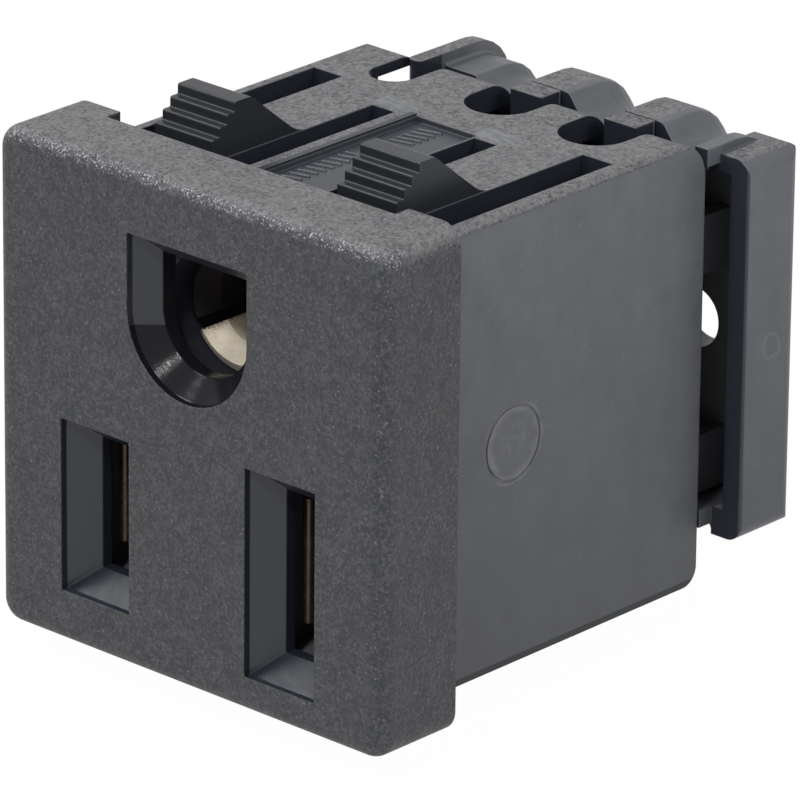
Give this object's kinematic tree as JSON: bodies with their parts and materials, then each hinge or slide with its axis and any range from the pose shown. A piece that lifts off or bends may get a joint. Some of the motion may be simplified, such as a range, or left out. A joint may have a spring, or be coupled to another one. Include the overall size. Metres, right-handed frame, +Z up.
{
  "type": "panel-mount power socket",
  "caption": "Snap-in power socket for two flat blades and an earth pin, with a square flange, stepped latches and a sliding rear cover that presses wires onto its contacts.",
  "frame": {"origin": "centre of the front face, which is the visible face of the flange", "axes": "+Y runs from the front face to the rear cover, +Z is up with the earth hole above the blade slots, +X is to the right seen from the front"},
  "size_m": [0.0264, 0.0312, 0.0298],
  "materials": {
    "housing_plastic": "spark-eroded texture on the face and top, satin on the sides",
    "carrier_plastic": "satin",
    "cover_plastic": "satin, textured on the ridge tops",
    "contact_brass": "bright stamped sheet"
  },
  "bodies": {
    "socket": {"housing": "housing_plastic", "contact_carrier": "carrier_plastic", "line_contact": "contact_brass", "neutral_contact": "contact_brass", "earth_contact": "contact_brass"},
    "cover": {"wire_cover": "cover_plastic"}
  },
  "joints": [
    {"name": "cover_slide", "type": "slide", "parent": "socket", "child": "cover", "axis": [0, 1, 0], "range_m": [0, 0.0044]}
  ]
}
